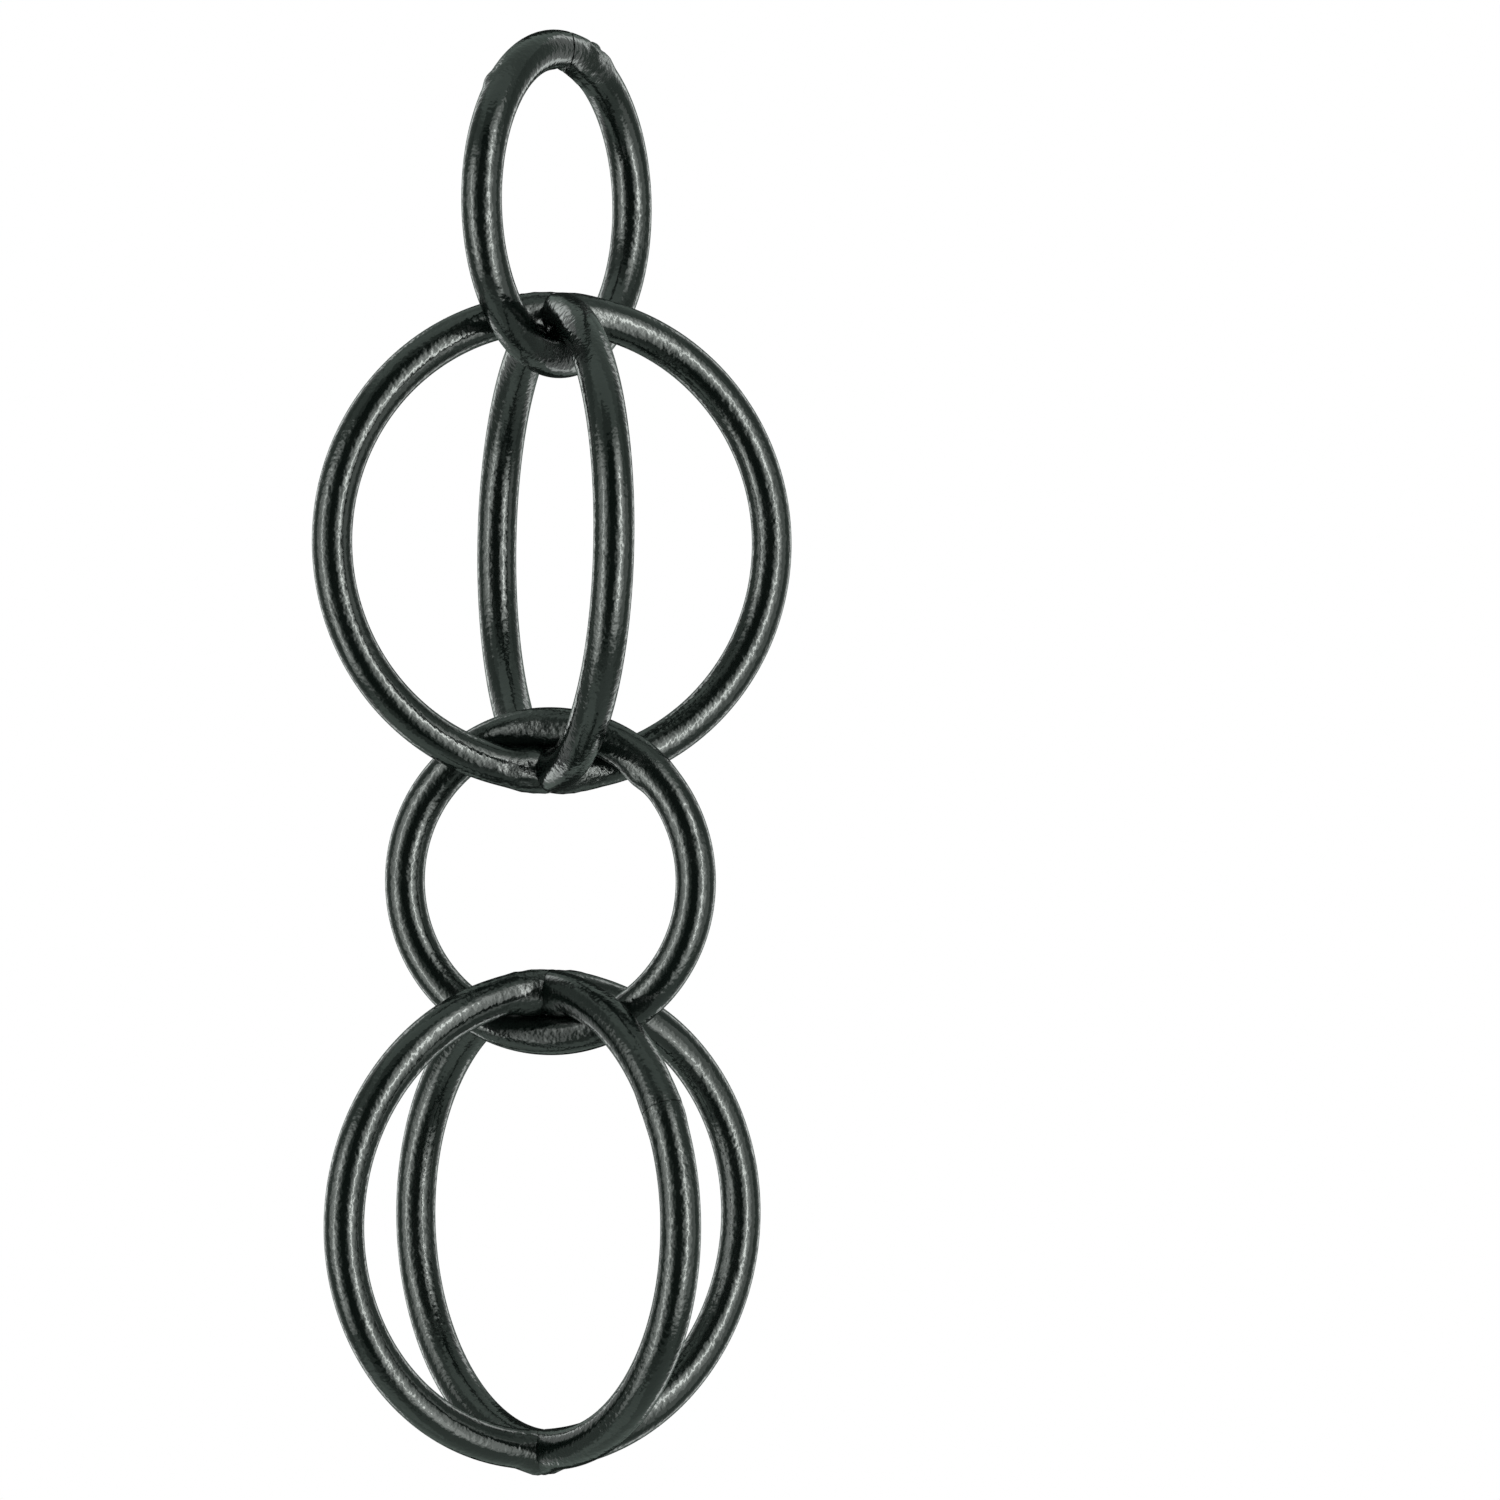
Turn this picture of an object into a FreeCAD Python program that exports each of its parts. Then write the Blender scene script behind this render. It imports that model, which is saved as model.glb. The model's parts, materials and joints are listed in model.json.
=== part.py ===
import FreeCAD, Part
import os
import Sketcher

# A length of rain chain: two single rings and two open globes, hanging in turn from each other.
# Every link is bent from the same round bar. A globe is one whole hoop with two half hoops
# welded across it, about square to it. Their ends are coped to sit on its bar at the two poles.
#
# Millimetres and degrees, +Z up. The origin is the point where a gutter hook bears, at the
# inside of the top ring. That ring stands in the XZ plane, and its hole runs along Y.
#
# Each sub-part is drawn upright round its own centre, in its own XZ plane, and is then turned
# about the vertical and lowered to its place in the chain.

document = FreeCAD.newDocument("rain_chain")
sizes = document.addObject("Spreadsheet::Sheet", "sizes")

driving_sizes = [
    ("rod_diameter", 6.1, "round bar with its coat, the same in every link"),
    ("ring_outer", 53, "outside diameter of a single ring"),
    ("hoop_outer", 76, "outside diameter of a globe"),
    ("link_gap", 0.75, "play between two links, bar to bar"),
    ("cope_gap", 0.05, "fit of a coped end on the hoop that it is welded to"),
    ("seam_length", 9, "bead of the weld that closes a ring or hoop, along the bar"),
    ("seam_rise", 0.3, "height of that bead above the bar"),
    ("head_weld_length", 6, "weld at the upper end of a half hoop, along the bar"),
    ("head_weld_rise", 0.2, "height of that weld above the outer side of the bar"),
    ("foot_weld_length", 4.5, "weld at the lower end of a half hoop, along the bar"),
    ("upper_foot_weld_rise", 0.3, "height of that weld above the outer side of the bar, upper globe"),
    ("lower_foot_weld_rise", 1.1, "height of that weld above the outer side of the bar, lower globe"),
    ("weld_sink", 0.7, "depth of a weld's ends, below a bar drawn round its axis"),
    ("top_ring_seam", 20, "place of the top ring's bead, from the top"),
    ("middle_ring_seam", 41, "place of the middle ring's bead, from the top"),
    ("upper_hoop_seam", -150, "place of the upper hoop's bead, from the top"),
    ("lower_hoop_seam", 59, "place of the lower hoop's bead, from the top"),
    ("upper_crossing_angle", 92, "between the upper globe's hoop and its half hoops"),
    ("lower_crossing_angle", 85, "between the lower globe's hoop and its half hoops"),
    ("middle_ring_offset", 10, "turn of the middle ring off the middle of the upper globe's quarter"),
    ("lower_globe_offset", 7, "turn of the lower globe's quarter off the middle ring"),
]

derived_sizes = [
    ("rod_radius", "=rod_diameter / 2"),
    ("ring_radius", "=(ring_outer - rod_diameter) / 2"),
    ("hoop_radius", "=(hoop_outer - rod_diameter) / 2"),
    ("cope_diameter", "=rod_diameter + 2 * cope_gap"),
    ("seam_crown", "=rod_radius + seam_rise"),
    ("head_weld_axis", "=hoop_radius + head_weld_rise"),
    ("head_weld_place", "=head_weld_length / 2 / hoop_radius * 180 / pi"),
    ("upper_foot_weld_axis", "=hoop_radius + upper_foot_weld_rise"),
    ("lower_foot_weld_axis", "=hoop_radius + lower_foot_weld_rise"),
    ("foot_weld_place", "=180 - foot_weld_length / 2 / hoop_radius * 180 / pi"),
    ("shoulder", "=rod_radius - weld_sink"),
    ("link_pitch", "=ring_radius + hoop_radius - rod_diameter - link_gap"),
    ("top_ring_height", "=rod_diameter - ring_outer / 2"),
    ("upper_globe_height", "=top_ring_height - link_pitch"),
    ("middle_ring_height", "=upper_globe_height - link_pitch"),
    ("lower_globe_height", "=middle_ring_height - link_pitch"),
    ("upper_cope_turn", "=90 - upper_crossing_angle"),
    ("lower_cope_turn", "=90 - lower_crossing_angle"),
    ("top_ring_turn", "=0"),
    ("upper_cross_turn", "=top_ring_turn - (180 - upper_crossing_angle) / 2"),
    ("upper_hoop_turn", "=upper_cross_turn - upper_crossing_angle"),
    ("middle_ring_turn", "=upper_cross_turn - upper_crossing_angle / 2 + middle_ring_offset"),
    ("lower_cross_turn", "=middle_ring_turn + lower_crossing_angle / 2 + lower_globe_offset"),
    ("lower_hoop_turn", "=lower_cross_turn - lower_crossing_angle"),
]

for row, (name, value, meaning) in enumerate(driving_sizes, start=1):
    sizes.set(f"A{row}", meaning)
    sizes.set(f"B{row}", str(value))
    sizes.setAlias(f"B{row}", name)

for row, (name, formula) in enumerate(derived_sizes, start=len(driving_sizes) + 1):
    sizes.set(f"A{row}", name.replace("_", " "))
    sizes.set(f"B{row}", formula)
    sizes.setAlias(f"B{row}", name)

document.recompute()

UP = FreeCAD.Vector(0, 0, 1)
UP_THE_SKETCH = FreeCAD.Vector(0, 1, 0)
CENTRE = FreeCAD.Vector(0, 0, 0)
FULL_TURN = 360
HALF_TURN = 180

# Sketcher numbers a sketch's own axes down from -1 and the points of an edge up from 1.
AXIS = {name: -number for number, name in enumerate(("across", "up"), start=1)}
POINT = {name: number for number, name in enumerate(("start", "end", "middle"), start=1)}
ORIGIN = (AXIS["across"], POINT["start"])


def size(name):
    """The value of a sheet cell."""
    return float(sizes.get(name))


def new_body(label, height, turn):
    """An empty body at a height, turned about the vertical."""
    body = document.addObject("PartDesign::Body", label)
    body.Label = label
    body.Placement = FreeCAD.Placement(CENTRE, FreeCAD.Rotation(UP, 1))
    body.setExpression("Placement.Base.z", f"sizes.{height}")
    body.setExpression("Placement.Rotation.Angle", turn)
    return body


def new_sketch(body, name, role):
    """An empty sketch on one of the body's origin planes."""
    sketch = body.newObject("Sketcher::SketchObject", name)
    plane = next(item for item in body.Origin.OriginFeatures if item.Role == role)
    sketch.AttachmentSupport = [(plane, "")]
    sketch.MapMode = "FlatFace"
    return sketch


def bind(sketch, label, kind, places, name):
    """Adds a dimension to a sketch and ties it to a sheet cell."""
    number = sketch.addConstraint(Sketcher.Constraint(kind, *places, size(name)))
    sketch.renameConstraint(number, label)
    sketch.setExpression(f"Constraints.{label}", f"sizes.{name}")


def bend_bar(body, radius, angle):
    """Bends the bar round the body's Y axis, as far above as below its +X side."""
    section = new_sketch(body, "bar_section", "XY_Plane")
    centre = FreeCAD.Vector(size(radius), 0, 0)
    section.addGeometry(Part.Circle(centre, UP, size("rod_radius")))
    section.addConstraint(Sketcher.Constraint("PointOnObject", 0, POINT["middle"], AXIS["across"]))
    bind(section, "bend_radius", "DistanceX", (*ORIGIN, 0, POINT["middle"]), radius)
    bind(section, "bar_diameter", "Diameter", (0,), "rod_diameter")
    bar = body.newObject("PartDesign::Revolution", "bent_bar")
    bar.Profile = section
    bar.ReferenceAxis = (section, ["V_Axis"])
    bar.Angle = angle
    bar.Midplane = True


def weld_bead(body, label, place, length, axis, crown):
    """A barrel-shaped weld on the bar, at an angle from the top towards +X.

    Its axis runs along the bar. An axis that lies outside the bar's own leaves the weld on
    the outer side alone.
    """
    profile = new_sketch(body, f"{label}_profile", "XZ_Plane")
    profile.AttachmentOffset = FreeCAD.Placement(CENTRE, FreeCAD.Rotation(UP, 1))
    profile.setExpression("AttachmentOffset.Rotation.Angle", f"-sizes.{place}")

    half = size(length) / 2
    foot = size(axis)
    edge = foot + size("shoulder")
    top = foot + size(crown)
    left_foot = FreeCAD.Vector(-half, foot, 0)
    right_foot = FreeCAD.Vector(half, foot, 0)
    left_edge = FreeCAD.Vector(-half, edge, 0)
    right_edge = FreeCAD.Vector(half, edge, 0)
    base, right, arc, left = profile.addGeometry([
        Part.LineSegment(left_foot, right_foot),
        Part.LineSegment(right_foot, right_edge),
        Part.Arc(right_edge, FreeCAD.Vector(0, top, 0), left_edge),
        Part.LineSegment(left_edge, left_foot),
    ])
    crown_point = profile.addGeometry(Part.Point(FreeCAD.Vector(0, top, 0)))
    start, end = POINT["start"], POINT["end"]
    profile.addConstraint([
        Sketcher.Constraint("Coincident", base, end, right, start),
        Sketcher.Constraint("Coincident", right, end, arc, start),
        Sketcher.Constraint("Coincident", arc, end, left, start),
        Sketcher.Constraint("Coincident", left, end, base, start),
        Sketcher.Constraint("Vertical", right),
        Sketcher.Constraint("Vertical", left),
        Sketcher.Constraint("Symmetric", base, start, base, end, AXIS["up"]),
        Sketcher.Constraint("Equal", right, left),
        Sketcher.Constraint("PointOnObject", crown_point, start, AXIS["up"]),
        Sketcher.Constraint("PointOnObject", crown_point, start, arc),
    ])
    bind(profile, "weld_length", "DistanceX", (base, start, base, end), length)
    bind(profile, "axis_radius", "DistanceY", (*ORIGIN, base, end), axis)
    bind(profile, "edge_radius", "DistanceY", (right, start, right, end), "shoulder")
    bind(profile, "crown_radius", "DistanceY", (base, end, crown_point, start), crown)
    weld = body.newObject("PartDesign::Revolution", label)
    weld.Profile = profile
    weld.ReferenceAxis = (profile, ["Edge1"])
    weld.Angle = FULL_TURN


def cope_ends(body, cope_turn):
    """Hollows both ends of a half hoop to sit on the bar of the hoop that it crosses."""
    section = new_sketch(body, "crossing_section", "XZ_Plane")
    section.AttachmentOffset = FreeCAD.Placement(CENTRE, FreeCAD.Rotation(UP_THE_SKETCH, 1))
    section.setExpression("AttachmentOffset.Rotation.Angle", f"sizes.{cope_turn}")
    centre = FreeCAD.Vector(0, size("hoop_radius"), 0)
    section.addGeometry(Part.Circle(centre, UP, size("cope_diameter") / 2))
    section.addConstraint(Sketcher.Constraint("PointOnObject", 0, POINT["middle"], AXIS["up"]))
    bind(section, "bend_radius", "DistanceY", (*ORIGIN, 0, POINT["middle"]), "hoop_radius")
    bind(section, "cope_diameter", "Diameter", (0,), "cope_diameter")
    cope = body.newObject("PartDesign::Groove", "coped_ends")
    cope.Profile = section
    cope.ReferenceAxis = (section, ["H_Axis"])
    cope.Angle = FULL_TURN


def closed_ring(label, radius, seam, height, turn):
    """A bar bent to a full circle and closed by one weld."""
    body = new_body(label, height, f"sizes.{turn}")
    bend_bar(body, radius, FULL_TURN)
    weld_bead(body, "seam_weld", seam, "seam_length", radius, "seam_crown")
    return body


def half_hoop(name, side, turn):
    """A bar bent to a half circle, welded by its coped ends across a globe's whole hoop."""
    body = new_body(f"{name}_half_hoop_{side}", f"{name}_globe_height", turn)
    bend_bar(body, "hoop_radius", HALF_TURN)
    for weld, axis in (("head_weld", "head_weld_axis"), ("foot_weld", f"{name}_foot_weld_axis")):
        weld_bead(body, weld, f"{weld}_place", f"{weld}_length", axis, "rod_radius")
    cope_ends(body, f"{name}_cope_turn")
    return body


def globe(name):
    """A whole hoop with a half hoop on each side of it."""
    hoop = f"{name}_hoop"
    cross = f"sizes.{name}_cross_turn"
    return [
        closed_ring(hoop, "hoop_radius", f"{hoop}_seam", f"{name}_globe_height", f"{hoop}_turn"),
        half_hoop(name, "right", cross),
        half_hoop(name, "left", f"{cross} + {HALF_TURN}"),
    ]


def single_ring(name):
    """One of the small rings that join the globes."""
    return closed_ring(name, "ring_radius", f"{name}_seam", f"{name}_height", f"{name}_turn")


links = [single_ring("top_ring"), *globe("upper"), single_ring("middle_ring"), *globe("lower")]
document.recompute()

for item in document.Objects:
    if "Invalid" in item.State or "Error" in item.State:
        raise RuntimeError(f"{item.Label} did not build: {item.State}")

for link in links:
    if link.Shape.isNull() or not link.Shape.isValid() or len(link.Shape.Solids) != 1:
        raise RuntimeError(f"{link.Label} is not one sound solid")

os.makedirs("parts", exist_ok=True)
for link in links:
    link.Shape.exportStep(f"parts/{link.Label}.step")
    box = link.Shape.optimalBoundingBox()
    print(f"{link.Label}: {link.Shape.Volume:.1f} mm3, z {box.ZMin:.2f} to {box.ZMax:.2f}")
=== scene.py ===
# %% [markdown]
# # A length of rain chain
# A rain chain hangs from a gutter and leads the water down to the ground. This length has four
# links: a ring, an open globe, a second ring and a second globe. Every link is bent from the same
# round bar, welded and powder coated black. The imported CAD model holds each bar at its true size
# and place, so it is loaded first and stays as it is. Every bar then gets a finer skin.

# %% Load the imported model
import bpy
import json
import math
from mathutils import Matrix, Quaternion, Vector

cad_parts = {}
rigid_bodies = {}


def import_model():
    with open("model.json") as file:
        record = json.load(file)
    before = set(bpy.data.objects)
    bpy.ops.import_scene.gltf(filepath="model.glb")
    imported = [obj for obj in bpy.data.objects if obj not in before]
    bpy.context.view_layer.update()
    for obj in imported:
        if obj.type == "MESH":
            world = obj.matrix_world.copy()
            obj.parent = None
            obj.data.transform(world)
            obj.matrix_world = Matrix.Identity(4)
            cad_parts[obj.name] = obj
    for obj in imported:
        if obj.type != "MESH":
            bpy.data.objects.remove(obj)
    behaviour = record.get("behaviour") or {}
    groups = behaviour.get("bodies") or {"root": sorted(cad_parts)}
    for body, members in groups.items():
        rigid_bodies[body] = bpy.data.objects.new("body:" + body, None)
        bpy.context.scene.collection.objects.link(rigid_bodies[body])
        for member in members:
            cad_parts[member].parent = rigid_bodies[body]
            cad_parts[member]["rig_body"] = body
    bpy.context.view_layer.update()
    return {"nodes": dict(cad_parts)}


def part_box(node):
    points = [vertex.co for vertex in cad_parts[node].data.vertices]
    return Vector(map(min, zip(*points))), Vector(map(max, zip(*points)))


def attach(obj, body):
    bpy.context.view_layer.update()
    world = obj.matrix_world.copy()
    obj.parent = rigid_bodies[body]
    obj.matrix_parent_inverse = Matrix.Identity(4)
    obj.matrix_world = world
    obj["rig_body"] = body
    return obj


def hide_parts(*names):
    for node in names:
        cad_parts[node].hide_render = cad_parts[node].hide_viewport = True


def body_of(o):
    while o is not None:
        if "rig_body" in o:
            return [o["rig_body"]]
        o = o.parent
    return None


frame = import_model()
print("bars in the CAD model:", ", ".join(sorted(frame["nodes"])))

# %% [markdown]
# ## Sizes
# The heights and the outside sizes are read from the CAD bars, so the skins can't drift away from
# them. Only the bar's own thickness and the turn of each link about the vertical are given here.
# A turn of 0 stands a link in the XZ plane, and a positive turn is to the left, seen from above.

# %% Bar, bends and turns
MM = 0.001
QUARTER = math.radians(90)
BAR = 6.1 * MM


def outside(node):
    """The height of a CAD bar, which is the outside diameter of its bend."""
    low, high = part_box(node)
    return high.z - low.z


def middle(node):
    """The height of the centre of a bend, which a half hoop shares with the hoop that it crosses."""
    whole = node.split("_half_")[0] + "_hoop" if "_half_" in node else node
    low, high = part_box(whole)
    return (low.z + high.z) / 2


RING_BEND = (outside("top_ring") - BAR) / 2
HOOP_BEND = (outside("upper_hoop") - BAR) / 2
TURN = {
    "top_ring": math.radians(0),
    "upper_half_hoop_right": math.radians(-44),
    "upper_half_hoop_left": math.radians(136),
    "upper_hoop": math.radians(-136),
    "middle_ring": math.radians(-80),
    "lower_half_hoop_right": math.radians(-30.5),
    "lower_half_hoop_left": math.radians(149.5),
    "lower_hoop": math.radians(-115.5),
}
print(f"bends to the middle of the bar: ring {RING_BEND / MM:.2f}, hoop {HOOP_BEND / MM:.2f} mm")

# %% [markdown]
# ## The coat
# The finish is a black powder coat: dry polyester powder that is baked until it flows into one
# skin, here over welded aluminium bar. It is a plastic, so it isn't metallic, its index of
# refraction is about 1.5, and it is semi-gloss. The powder never flows quite level. That leaves
# orange peel, a skin of shallow grains that breaks every reflection into specks, and the gloss
# changes a little from patch to patch. An image texture could hold that, but noise on Object
# coordinates has no seams and keeps its size on every bar.

# %% Helpers for materials
def linear(hex_colour):
    """An sRGB hex value as the linear colour that a socket takes."""
    parts = [int(hex_colour[i:i + 2], 16) / 255 for i in (1, 3, 5)]
    return [p / 12.92 if p <= 0.04045 else ((p + 0.055) / 1.055) ** 2.4 for p in parts] + [1]


def add_node(tree, kind, inputs=None, **settings):
    """Adds a node with its settings, and sets or links its inputs by name or number."""
    node = tree.nodes.new(kind)
    for name, value in settings.items():
        setattr(node, name, value)
    for name, value in (inputs or {}).items():
        if isinstance(value, bpy.types.NodeSocket):
            tree.links.new(value, node.inputs[name])
        else:
            node.inputs[name].default_value = value
    return node


def new_tree(owner):
    """Switches a material or a world to nodes and returns its empty node tree."""
    owner.use_nodes = True
    owner.node_tree.nodes.clear()
    return owner.node_tree


print("middle grey in linear light:", [round(part, 3) for part in linear("#808080")])

# %% Patterns of the coat
PATCH = 7 * MM          # patches where the powder lay thicker or thinner
PEEL_GRAIN = 0.85 * MM  # a grain of the orange peel, drawn coarser than real so that it shows
WELD_GRIT = 0.8 * MM    # spatter under the coat, only on welds

coat = bpy.data.materials.new("black_powder_coat")
tree = new_tree(coat)
place = add_node(tree, "ShaderNodeTexCoord").outputs["Object"]
on_weld = add_node(tree, "ShaderNodeAttribute", attribute_name="weld").outputs["Fac"]
patches = add_node(tree, "ShaderNodeTexNoise", {
    "Vector": place, "Scale": 1 / PATCH, "Detail": 2}).outputs["Fac"]
peel = add_node(tree, "ShaderNodeTexNoise", {
    "Vector": place, "Scale": 1 / PEEL_GRAIN, "Detail": 1}).outputs["Fac"]
grit = add_node(tree, "ShaderNodeTexNoise", {
    "Vector": place, "Scale": 1 / WELD_GRIT, "Detail": 3}).outputs["Fac"]
print("patterns of the coat:", PATCH / MM, "mm patches,", PEEL_GRAIN / MM, "mm peel")

# %% Colour, gloss and relief of the coat
ROUGHNESS = (0.1, 0.18)     # on glossy and on duller patches
WELD_ROUGHNESS = 0.08       # added on a weld
GLOSS_SPAN = (0.3, 0.7)     # the span of the noise from glossy to dull
PEEL_STRENGTH = (0.45, 1)   # on calm and on lively patches
PEEL_SPAN = (0.35, 0.65)    # the span of the noise from calm to lively
PEEL_HEIGHT = 0.11 * MM     # drawn a little deep so that it shows
GRIT_HEIGHT = 0.2 * MM
PLASTIC_IOR = 1.5
MIX_FIRST, MIX_SECOND, MIX_RESULT = 6, 7, 2   # numbers of a Mix node's colour sockets

tone = add_node(tree, "ShaderNodeMix", {
    "Factor": patches, MIX_FIRST: linear("#070d0b"), MIX_SECOND: linear("#0b120f")}, data_type="RGBA")
gloss = add_node(tree, "ShaderNodeMapRange", {
    "Value": patches, "From Min": GLOSS_SPAN[0], "From Max": GLOSS_SPAN[1],
    "To Min": ROUGHNESS[0], "To Max": ROUGHNESS[1]})
dull = add_node(tree, "ShaderNodeMath", {
    0: on_weld, 1: WELD_ROUGHNESS, 2: gloss.outputs[0]}, operation="MULTIPLY_ADD")
strength = add_node(tree, "ShaderNodeMapRange", {
    "Value": patches, "From Min": PEEL_SPAN[0], "From Max": PEEL_SPAN[1],
    "To Min": PEEL_STRENGTH[0], "To Max": PEEL_STRENGTH[1]})
grains = add_node(tree, "ShaderNodeBump", {
    "Height": peel, "Strength": strength.outputs[0], "Distance": PEEL_HEIGHT})
spatter = add_node(tree, "ShaderNodeMath", {0: on_weld, 1: grit}, operation="MULTIPLY")
relief = add_node(tree, "ShaderNodeBump", {
    "Height": spatter.outputs[0], "Distance": GRIT_HEIGHT, "Normal": grains.outputs[0]})
skin = add_node(tree, "ShaderNodeBsdfPrincipled", {
    "Base Color": tone.outputs[MIX_RESULT], "Roughness": dull.outputs[0], "IOR": PLASTIC_IOR,
    "Normal": relief.outputs[0]})
add_node(tree, "ShaderNodeOutputMaterial", {"Surface": skin.outputs[0]})
print("coat:", coat.name, "with", len(tree.nodes), "nodes")

# %% [markdown]
# ## Bending the bar
# A bender rolls the bar into a circle, and a torus is exactly that. It could also be a circle swept
# along a curve, but the torus comes closed and with its points in even rings. It is added upright
# at the height and turn of its CAD bar, and its place is then applied to the mesh. Many segments
# keep the outline round and leave enough points for the welds.

# %% Bend one bar
ROUND_SIDES = 56
POINT_SPACING = 0.34 * MM   # between two rings of points, along the bar


def bend_bar(node, bend):
    """A bar bent to a full circle, in the place of a CAD bar."""
    quarter_segments = round(math.tau * bend / POINT_SPACING / 4)
    bpy.ops.object.select_all(action="DESELECT")
    bpy.ops.mesh.primitive_torus_add(
        location=(0, 0, middle(node)), rotation=(QUARTER, 0, TURN[node]),
        major_radius=bend, minor_radius=BAR / 2,
        major_segments=quarter_segments * 4, minor_segments=ROUND_SIDES)
    bar = bpy.context.object
    bar.name = f"{node}_bar"
    bpy.ops.object.transform_apply(location=True, rotation=True, scale=True)
    return bar


bars = {"top_ring": bend_bar("top_ring", RING_BEND), "middle_ring": bend_bar("middle_ring", RING_BEND)}
for node in ("upper_hoop", "lower_hoop"):
    bars[node] = bend_bar(node, HOOP_BEND)
print("bent:", {node: len(bar.data.vertices) for node, bar in bars.items()})

# %% Find a place on a bar
def on_bar(node, bend, degrees, outwards=0, across=0):
    """A point at an angle from the top of a bend, and the direction in which the bar runs there.

    The point can lie off the bar's middle line, away from the bend's centre or across its plane.
    """
    angle = math.radians(degrees)
    side = Vector((math.cos(TURN[node]), math.sin(TURN[node]), 0))
    up = Vector((0, 0, 1))
    spoke = side * math.sin(angle) + up * math.cos(angle)
    along = side * math.cos(angle) - up * math.sin(angle)
    return up * middle(node) + spoke * (bend + outwards) + side.cross(up) * across, along


print("foot of the top ring at", [round(part, 4) for part in on_bar("top_ring", RING_BEND, 180)[0]])

# %% [markdown]
# ## Welds
# The ends of a ring meet in a butt weld, and each end of a half hoop is welded to the hoop. Under
# the coat a weld is a low swelling with lumps. It could be sculpted by hand, but modifiers give the
# same shape on every run: one Displace swells the bar and a second one adds the lumps. A Vertex
# Weight Proximity modifier fades both out with the distance from a small ball, which stands where
# the torch was.

# %% Swell the bar at a weld
LUMP = 1.5 * MM     # width of a lump in a weld
TORCH = 0.2 * MM    # the small ball that marks where the torch was

lump_pattern = bpy.data.textures.new("weld_lumps", "CLOUDS")
lump_pattern.noise_scale = LUMP
lump_pattern.noise_depth = 2
welds = {node: [] for node in TURN}


def swell(node, point, reach, rise, lumpiness):
    """Raises a weld round a point of a bar, with lumps on it, and fades it out at its reach."""
    bar = bars[node]
    bpy.ops.object.select_all(action="DESELECT")
    bpy.ops.mesh.primitive_ico_sphere_add(subdivisions=1, radius=TORCH / 2, location=point)
    torch = bpy.context.object
    bpy.context.view_layer.objects.active = bar
    bar.vertex_groups.new(name="weld").add(range(len(bar.data.vertices)), 1, "REPLACE")

    fade = bar.modifiers.new("fade", "VERTEX_WEIGHT_PROXIMITY")
    fade.vertex_group = "weld"
    fade.target = torch
    fade.proximity_mode = "GEOMETRY"
    fade.proximity_geometry = {"VERTEX"}
    fade.min_dist = reach
    fade.max_dist = 0
    fade.falloff_type = "SMOOTH"
    bpy.ops.object.modifier_apply(modifier=fade.name)

    bead = bar.modifiers.new("bead", "DISPLACE")
    bead.vertex_group = "weld"
    bead.mid_level = 0
    bead.strength = rise
    bpy.ops.object.modifier_apply(modifier=bead.name)

    lumps = bar.modifiers.new("lumps", "DISPLACE")
    lumps.vertex_group = "weld"
    lumps.texture = lump_pattern
    lumps.texture_coords = "LOCAL"
    lumps.strength = lumpiness
    bpy.ops.object.modifier_apply(modifier=lumps.name)

    bar.vertex_groups.clear()
    bpy.data.objects.remove(torch)
    welds[node].append((point, reach))


print("pattern for the lumps:", lump_pattern.name)

# %% [markdown]
# ## Seams
# Every ring and whole hoop is closed by one butt weld. On two of them the gap between the bar's
# ends wasn't filled all round, and a narrow slot is left. A dark line in the coat could show it,
# but a real groove is also there in the outline and in the mesh. Two bisects mark its
# edges, and the faces between them are extruded inwards.

# %% Cut a slot between two bar ends
SLOT_WIDTH = 0.3 * MM


def select_near(bar, point, along, reach):
    """Selects the faces round a point that lie within a reach along the bar."""
    bpy.ops.object.mode_set(mode="EDIT")
    bpy.ops.mesh.select_mode(type="FACE")
    bpy.ops.mesh.select_all(action="DESELECT")
    bpy.ops.object.mode_set(mode="OBJECT")
    for face in bar.data.polygons:
        offset = face.center - point
        face.select = offset.length < 2 * BAR and abs(offset.dot(along)) < reach
    bpy.ops.object.mode_set(mode="EDIT")


def cut_slot(node, bend, degrees, slant, depth):
    """Cuts a narrow slot round a bar, where its two ends met before they were welded."""
    point, along = on_bar(node, bend, degrees)
    spoke = point - Vector((0, 0, middle(node)))
    along.rotate(Quaternion(spoke, math.radians(slant)))
    bar = bars[node]
    bpy.ops.object.select_all(action="DESELECT")
    bpy.context.view_layer.objects.active = bar
    for edge in (-SLOT_WIDTH / 2, SLOT_WIDTH / 2):
        select_near(bar, point, along, 2 * BAR)
        bpy.ops.mesh.bisect(plane_co=point + along * edge, plane_no=along)
    select_near(bar, point, along, SLOT_WIDTH / 2)
    bpy.ops.mesh.extrude_region_shrink_fatten(TRANSFORM_OT_shrink_fatten={"value": -depth})
    bpy.ops.object.mode_set(mode="OBJECT")
    print(f"slot on {node}, {depth / MM:.1f} mm deep")


print(f"a slot is {SLOT_WIDTH / MM:.1f} mm wide")

# %% Close the rings and hoops
SEAMS = {"top_ring": 20, "middle_ring": 41, "upper_hoop": -150, "lower_hoop": 59}   # degrees from the top
SLOTS = {"top_ring": (5, -45, 0.5 * MM), "lower_hoop": (59, 0, 0.4 * MM)}    # place, slant, depth
SEAM_REACH = 5.5 * MM
SEAM_RISE = 0.3 * MM
SEAM_LUMPS = 0.5 * MM

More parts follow.
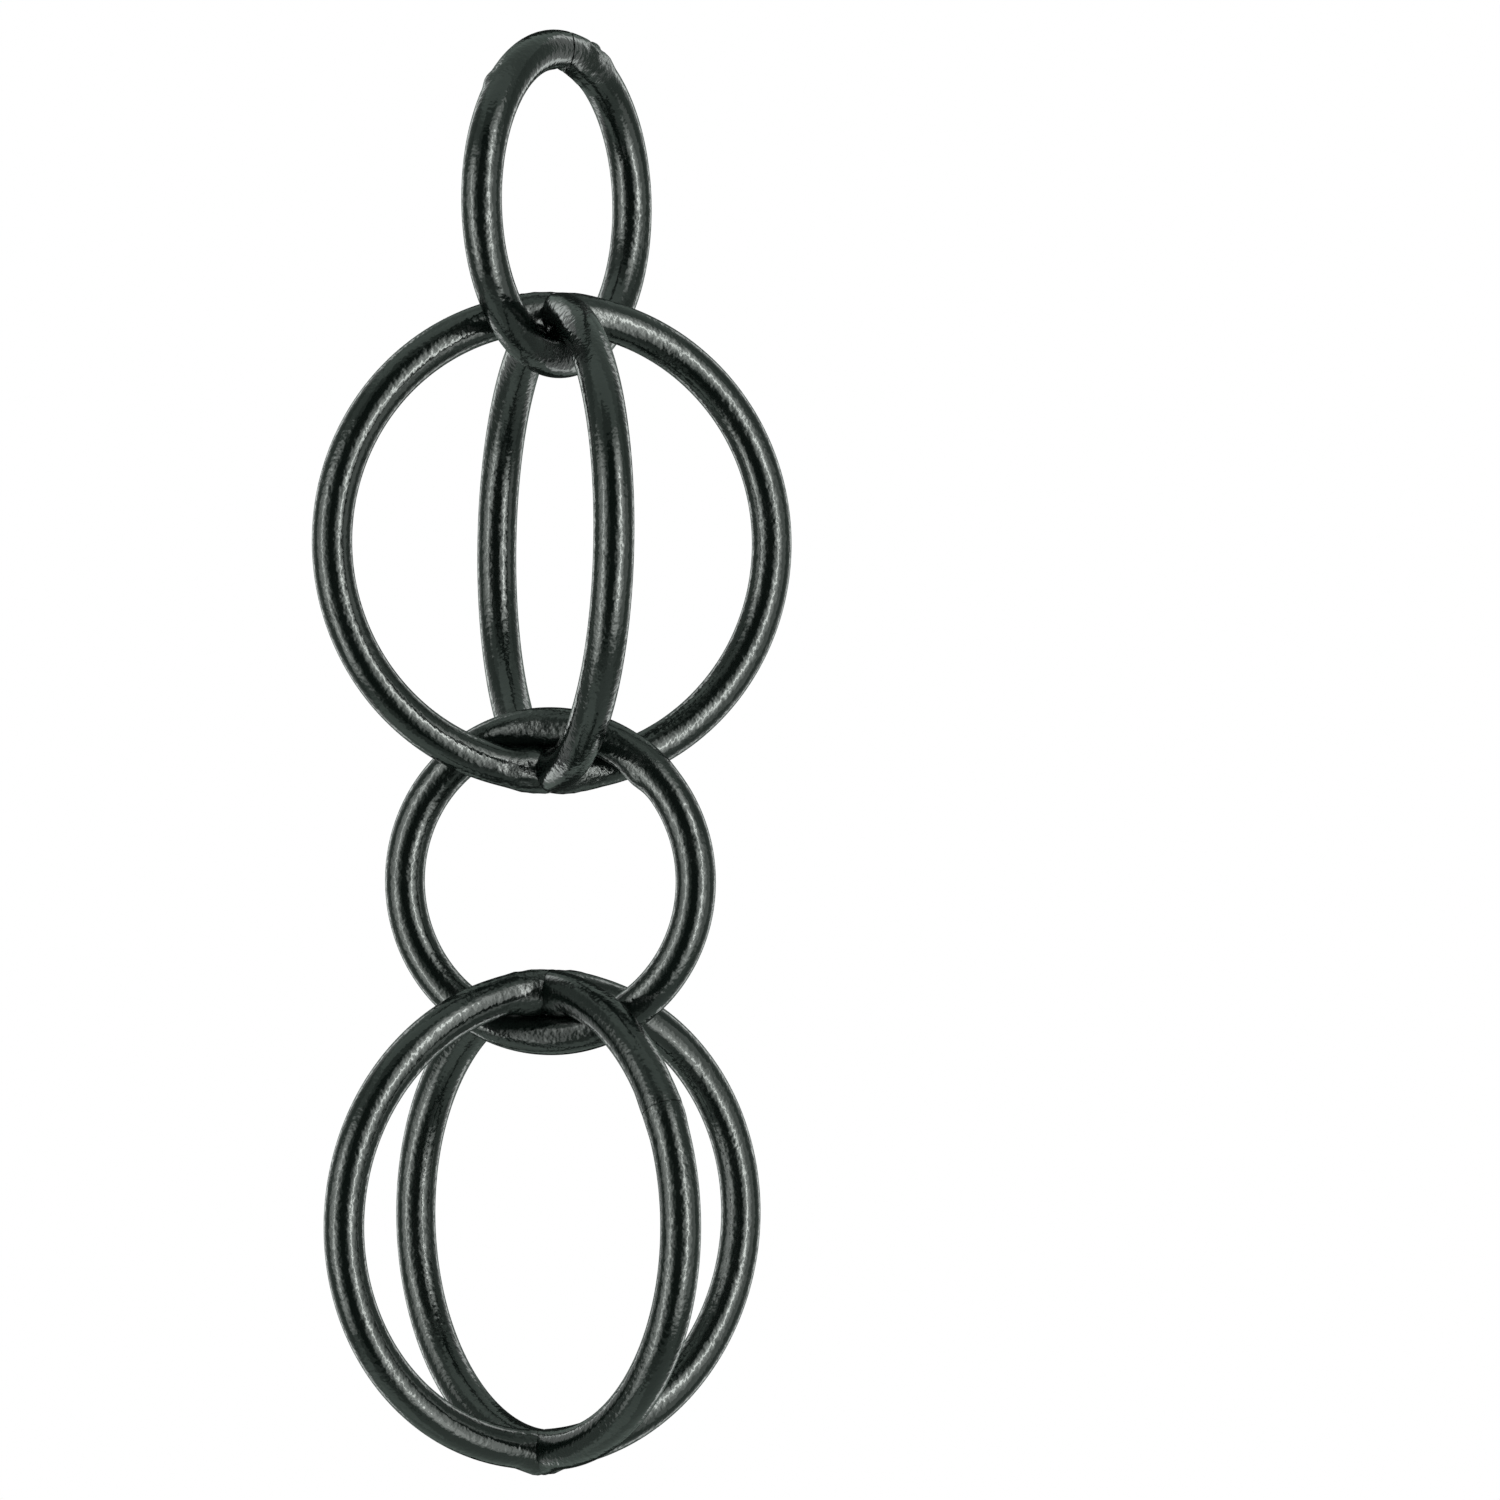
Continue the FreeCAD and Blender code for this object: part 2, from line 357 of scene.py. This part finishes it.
for node, degrees in SEAMS.items():
    bend = RING_BEND if "ring" in node else HOOP_BEND
    if node in SLOTS:
        cut_slot(node, bend, *SLOTS[node])
    point, _ = on_bar(node, bend, degrees)
    swell(node, point, SEAM_REACH, SEAM_RISE, SEAM_LUMPS)
    print("butt weld on", node, "at", degrees, "degrees")

# %% [markdown]
# ## Rough marks
# Welds are never neat. Drops of spatter, ground spots and pits lie beside them, and the coat runs
# over all of it. A sculpting brush could place them, but the swelling of a weld does it too: small,
# off the bar's middle line, and with a negative rise where there is a pit.

# %% Rough marks beside the welds
MARKS = {   # place in degrees, then outwards, across, reach, rise and lumps in mm
    "top_ring": [
        (1, -3, 0, 3, -0.5, 0.2),
        (16, 1.6, 2.4, 5, 0.1, 1),
        (27, 2.4, 1.9, 2.6, 0.2, 0.3),
        (-46, 2.2, -2.1, 2, 0.3, 0.2),
    ],
    "middle_ring": [(-6, 0, 2.8, 5, 0.05, 0.5), (40, -3, 0.5, 3.4, 0.4, 0.3)],
    "upper_half_hoop_right": [(171, 1, 2.6, 5.5, 0.05, 0.7)],
    "upper_half_hoop_left": [(171, 1, -2.6, 5.5, 0.05, 0.7)],
    "lower_half_hoop_left": [
        (6, 1.6, -2.4, 4.5, 0.05, 0.7),
        (178.6, 0.4, -3, 1.7, -0.7, 0.3),
        (178.8, -2.6, -1.4, 1.5, -0.6, 0.2),
    ],
}


def mark(node, bend):
    """Adds a bar's rough marks, each a small swelling or a pit."""
    for degrees, *lengths in MARKS.get(node, []):
        outwards, across, reach, rise, lumpiness = [length * MM for length in lengths]
        point, _ = on_bar(node, bend, degrees, outwards, across)
        swell(node, point, reach, rise, lumpiness)
    print("rough marks on", node, "-", len(MARKS.get(node, [])))


mark("top_ring", RING_BEND)
mark("middle_ring", RING_BEND)

# %% [markdown]
# ## Crossings
# Two half hoops are welded across the whole hoop of a globe, at its head and its foot. Most beads
# are flat outside, and a fatter one fills the corner on the inside. Only the lower globe's foot is
# closed with one thick blob. The beads could be lumps of their own, but then they would show a seam
# under the coat, so the bars themselves swell. The whole hoops come first.

# %% Welds at the crossings
OUTER = BAR / 2
INNER = -BAR / 2
# Each weld has its place in degrees, its side of the bar, and its reach, rise and lumps.
HEAD_WELD = (5, OUTER, 7 * MM, 0.2 * MM, 0.4 * MM)
FOOT_WELD = (176, OUTER, 6 * MM, 0.3 * MM, 0.5 * MM)
# These two stand at several places, so their place is added where they are used.
UNDER_WELD = (INNER, 4.5 * MM, 0.85 * MM, 0.2 * MM)
BLOB = (OUTER, 4.2 * MM, 0.85 * MM, 0.5 * MM)
END_WELDS = {
    "upper": [HEAD_WELD, (4.5, *UNDER_WELD), (175.5, *UNDER_WELD), FOOT_WELD],
    "lower": [HEAD_WELD, (4.5, *UNDER_WELD), (178.5, *BLOB)],
}
HOOP_WELDS = {
    "upper": [(degrees, *UNDER_WELD) for degrees in (-4.5, 4.5, 175.5, 184.5)],
    "lower": [(-4.5, *UNDER_WELD), (4.5, *UNDER_WELD), (180, *BLOB)],
}


def weld_hoop(node, rows):
    """Adds the welds of a table to a whole or a half hoop."""
    for degrees, side, reach, rise, lumpiness in rows:
        point, _ = on_bar(node, HOOP_BEND, degrees, side)
        swell(node, point, reach, rise, lumpiness)
    print("welds on", node, "-", len(rows))


for globe, rows in HOOP_WELDS.items():
    weld_hoop(f"{globe}_hoop", rows)

# %% [markdown]
# ## Half hoops
# A half hoop is the same bend cut in two, and its ends are coped: hollowed to sit on the round of
# the bar that they meet. A bisect makes the half and closes its ends, and a Boolean with a slightly
# thicker copy of the whole hoop hollows them, as a round file would. The first cut leaves the half
# a little long, so that the weld swells past the end, and a second cut trims both to a flat face.

# %% Cut and cope a half hoop
COPE_GAP = 0.05 * MM
FILE_SEGMENTS = 360
FILE_SIDES = 96


def cut(node, distance):
    """Cuts the active bend upright at a distance from its middle and keeps the far side, closed."""
    _, side = on_bar(node, HOOP_BEND, 0)
    bpy.ops.object.mode_set(mode="EDIT")
    bpy.ops.mesh.select_all(action="SELECT")
    bpy.ops.mesh.bisect(plane_co=side * distance, plane_no=side, use_fill=True, clear_inner=True)
    bpy.ops.object.mode_set(mode="OBJECT")


def cope(bar, hoop):
    """Hollows the ends of a bar with a torus that is a little thicker than the hoop."""
    bpy.ops.object.select_all(action="DESELECT")
    bpy.ops.mesh.primitive_torus_add(
        location=(0, 0, middle(hoop)), rotation=(QUARTER, 0, TURN[hoop]), major_radius=HOOP_BEND,
        minor_radius=BAR / 2 + COPE_GAP, major_segments=FILE_SEGMENTS, minor_segments=FILE_SIDES)
    round_file = bpy.context.object
    bpy.context.view_layer.objects.active = bar
    hollow = bar.modifiers.new("cope", "BOOLEAN")
    hollow.object = round_file
    hollow.solver = "MANIFOLD"
    bpy.ops.object.modifier_apply(modifier=hollow.name)
    bpy.data.objects.remove(round_file)
    print("coped", bar.name, "-", len(bar.data.vertices), "points")


print(f"a coped end leaves a gap of {COPE_GAP / MM:.2f} mm")

# %% Make the four half hoops
OVERRUN = 2 * MM
TRIM_GAP = 0.04 * MM

for node in [name for name in TURN if "half" in name]:
    globe = node.split("_")[0]
    bars[node] = bend_bar(node, HOOP_BEND)
    cut(node, -OVERRUN)
    weld_hoop(node, END_WELDS[globe])
    mark(node, HOOP_BEND)
    cut(node, TRIM_GAP)
    cope(bars[node], f"{globe}_hoop")

# %% [markdown]
# ## From skins to pieces
# Each skin takes the place of its CAD bar, rides on the same link, and takes the coat. Grit lies on
# the welds alone. A painted mask could hold that, but the places of the welds are known, so every
# point gets its share of a weld from its distance, as an attribute that the coat reads.

# %% Coat the bars and hang them on their links
SMOOTH_ANGLE = math.radians(40)   # sharper edges, such as those of a slot, stay sharp

for node, bar in bars.items():
    share = bar.data.attributes.new("weld", "FLOAT", "POINT")
    for vertex in bar.data.vertices:
        near = [1 - (vertex.co - point).length / reach for point, reach in welds[node]]
        share.data[vertex.index].value = max(0, *near)
    bpy.ops.object.select_all(action="DESELECT")
    bar.select_set(True)
    bpy.context.view_layer.objects.active = bar
    bpy.ops.object.shade_smooth_by_angle(angle=SMOOTH_ANGLE)
    bar.data.materials.clear()
    bar.data.materials.append(coat)
    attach(bar, body_of(frame["nodes"][node])[0])
    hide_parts(node)

# %% [markdown]
# ## Camera
# The picture was taken with a long lens at the height of the chain's middle, and rolled a little.
# A camera can be set by eye, but here its place, roll and lens come from circles that were fitted
# to the links in the photograph, so that the render lies on it.

# %% Camera
VIEW = math.radians(-62.12)      # the way the camera looks, turned from +Y
ROLL = math.radians(-0.72)
DISTANCE = 1254 * MM
ASIDE = 30.27 * MM               # the chain hangs left of the middle of the picture
EYE_HEIGHT = -103.15 * MM
FOCAL_PIXELS = 8236              # from the photograph, which is 1500 pixels wide
PICTURE_PIXELS = 1500
SENSOR = 36

ahead = Vector((-math.sin(VIEW), math.cos(VIEW), 0))
right = Vector((math.cos(VIEW), math.sin(VIEW), 0))
eye = right * ASIDE - ahead * DISTANCE + Vector((0, 0, EYE_HEIGHT))
bpy.ops.object.camera_add(location=eye, rotation=(QUARTER, ROLL, VIEW))
camera = bpy.context.object
camera.data.sensor_width = SENSOR
camera.data.lens = FOCAL_PIXELS / PICTURE_PIXELS * SENSOR
bpy.context.scene.camera = camera
bpy.context.scene.view_settings.view_transform = "Standard"
print(f"camera with a {camera.data.lens:.1f} mm lens at", [round(part, 3) for part in eye])

# %% [markdown]
# ## World and floor
# A white world at strength 1 makes the white background and lights the coat evenly from all sides,
# so its colour renders about as it is written. A sky could light it too, but would tint the black.
# A floor of pale paper lies far below, out of the camera's view, because the chain hangs free.

# %% World and floor
FLOOR_HEIGHT = -3
FLOOR_RADIUS = 12
FLOOR_CORNERS = 96

world = bpy.data.worlds.new("white_room")
bpy.context.scene.world = world
tree = new_tree(world)
white = add_node(tree, "ShaderNodeBackground", {"Color": linear("#ffffff"), "Strength": 1})
add_node(tree, "ShaderNodeOutputWorld", {"Surface": white.outputs[0]})

paper = bpy.data.materials.new("pale_paper")
tree = new_tree(paper)
matt = add_node(tree, "ShaderNodeBsdfDiffuse", {"Color": linear("#f4f4f2")})
add_node(tree, "ShaderNodeOutputMaterial", {"Surface": matt.outputs[0]})
bpy.ops.mesh.primitive_circle_add(
    vertices=FLOOR_CORNERS, radius=FLOOR_RADIUS, fill_type="NGON", location=(0, 0, FLOOR_HEIGHT))
floor = bpy.context.object
floor.name = "floor"
floor.data.materials.append(paper)
print("world:", world.name, "- floor at", FLOOR_HEIGHT, "m")

# %% [markdown]
# ## Tent
# Black gloss shows what it reflects, so a photographer hangs cloths round it. The tent is a sphere
# round the whole scene, and each of its faces takes one of six cloths. A black front leaves a dark
# core in every bar, and a dim border softens it. Pale cloth above and below lights the poles of the
# globes. The back has bright strips beside a dark middle, for views from behind. A picture of a
# studio could do the same, but cloths are easy to move. Only reflections see the tent: the camera,
# diffuse light and shadows pass it by.

# %% Choose the cloths
CLOTHS = {   # colour, glow
    "grey": ("#e9fff3", 0.62),
    "dim": ("#e9fff3", 0.36),
    "black": ("#e9fff3", 0.03),
    "white": ("#f8fffb", 0.85),
    "pale": ("#e9fff3", 1),
    "bright": ("#f8fffb", 2.6),
}
# Where a cloth hangs: degrees to the right of the camera from and to, and above it from and to.
FRONT_AND_TOP = [
    ("black", -21, 11, -45, 45),
    ("dim", -42, 24, -62, 62),
    ("pale", -115, 70, 52, 91),
    ("pale", -115, -20, -91, -52),
]
BOTH_SIDES = [
    ("black", 166, 181, -45, 45),
    ("bright", 138, 149, -45, 45),
    ("dim", 153, 181, -45, 45),
    ("dim", 85, 120, -45, 45),
    ("white", 120, 181, -45, 45),
]


def seen_from_chain(towards):
    """A direction from the chain as degrees to the right of the camera and above it."""
    turn = math.atan2(towards.dot(right), towards.dot(-ahead))
    return math.degrees(turn), math.degrees(math.asin(towards.normalized().z))


def cloth_at(turn, lift):
    """The cloth that hangs in a direction: the first that fits, or else the grey one."""
    rows = [(turn, *row) for row in FRONT_AND_TOP] + [(abs(turn), *row) for row in BOTH_SIDES]
    for angle, cloth, start, end, low, high in rows:
        if start < angle < end and low < lift < high:
            return cloth
    return "grey"


print("cloth behind the camera:", cloth_at(0, 0), "- overhead:", cloth_at(0, 90))

# %% Hang the tent
TENT_RADIUS = 2.2
FACE = 5     # degrees of the tent's sphere that a face takes up

tent_middle = Vector((0, 0, EYE_HEIGHT))
bpy.ops.object.select_all(action="DESELECT")
bpy.ops.mesh.primitive_uv_sphere_add(
    segments=360 // FACE, ring_count=180 // FACE, radius=TENT_RADIUS, location=tent_middle)
tent = bpy.context.object
tent.name = "tent"
for name, (colour, glow) in CLOTHS.items():
    cloth = bpy.data.materials.new(f"{name}_cloth")
    tree = new_tree(cloth)
    shine = add_node(tree, "ShaderNodeEmission", {"Color": linear(colour), "Strength": glow})
    add_node(tree, "ShaderNodeOutputMaterial", {"Surface": shine.outputs[0]})
    tent.data.materials.append(cloth)

cloth_order = list(CLOTHS)
for face in tent.data.polygons:
    face.material_index = cloth_order.index(cloth_at(*seen_from_chain(face.center)))
tent.visible_camera = False
tent.visible_diffuse = False
tent.visible_shadow = False
print("tent with", len(tent.data.polygons), "faces in", len(CLOTHS), "cloths")

# %% [markdown]
# ## Soft boxes
# A large soft box on each side of the camera draws a pale strip down every bar, bright in its
# middle and fading to its edges. One area lamp glows the same all over, so each box is a stack of
# panels, from wide and weak to narrow and strong, and their light adds up. Panels in one plane
# would hide each other, so each stands a little nearer to the chain than the last. A weak wing
# beside each box carries the light round the side of a bar. Reflections alone see the lamps too.

# %% Build one soft box
LAMP_DISTANCE = 1.25
PANEL_STEP = 0.05
LAMP_COLOUR = "#f9fffa"


def soft_box(name, turn, lift, panels):
    """A soft box that faces the chain, at angles to the right of and above the camera's side."""
    turn, lift = math.radians(turn), math.radians(lift)
    flat = -ahead * math.cos(turn) + right * math.sin(turn)
    away = flat * math.cos(lift) + Vector((0, 0, math.sin(lift)))
    for number, (width, tall, glow) in enumerate(panels):
        distance = LAMP_DISTANCE - number * PANEL_STEP
        bpy.ops.object.light_add(type="AREA", location=tent_middle + away * distance)
        lamp = bpy.context.object
        lamp.name = f"{name}_{number}"
        lamp.rotation_euler = away.to_track_quat("Z", "Y").to_euler()
        lamp.data.shape = "RECTANGLE"
        lamp.data.size = 2 * distance * math.tan(math.radians(width / 2))
        lamp.data.size_y = 2 * distance * math.tan(math.radians(tall / 2))
        lamp.data.energy = glow * math.pi * lamp.data.size * lamp.data.size_y
        lamp.data.color = linear(LAMP_COLOUR)[:3]
        lamp.visible_camera = False
        lamp.visible_diffuse = False
        print(f"{lamp.name}: {lamp.data.size:.2f} by {lamp.data.size_y:.2f} m, {lamp.data.energy:.1f} W")


print("soft boxes stand", LAMP_DISTANCE, "m from the chain")

# %% Place the soft boxes
SOFT_BOXES = {   # turn and lift, then the width, height and glow of each panel; angles in degrees
    "left_box": (-58, -6, [(46, 75, 1.4), (28, 64, 1.8), (6, 52, 6.5)]),
    "left_wing": (-84, 0, [(16, 40, 1.2)]),
    "right_box": (42, 2, [(46, 94, 1.7), (26, 79, 2.7), (6, 58, 13)]),
    "right_wing": (74, -6, [(36, 50, 0.7)]),
}

for name, (turn, lift, panels) in SOFT_BOXES.items():
    soft_box(name, turn, lift, panels)
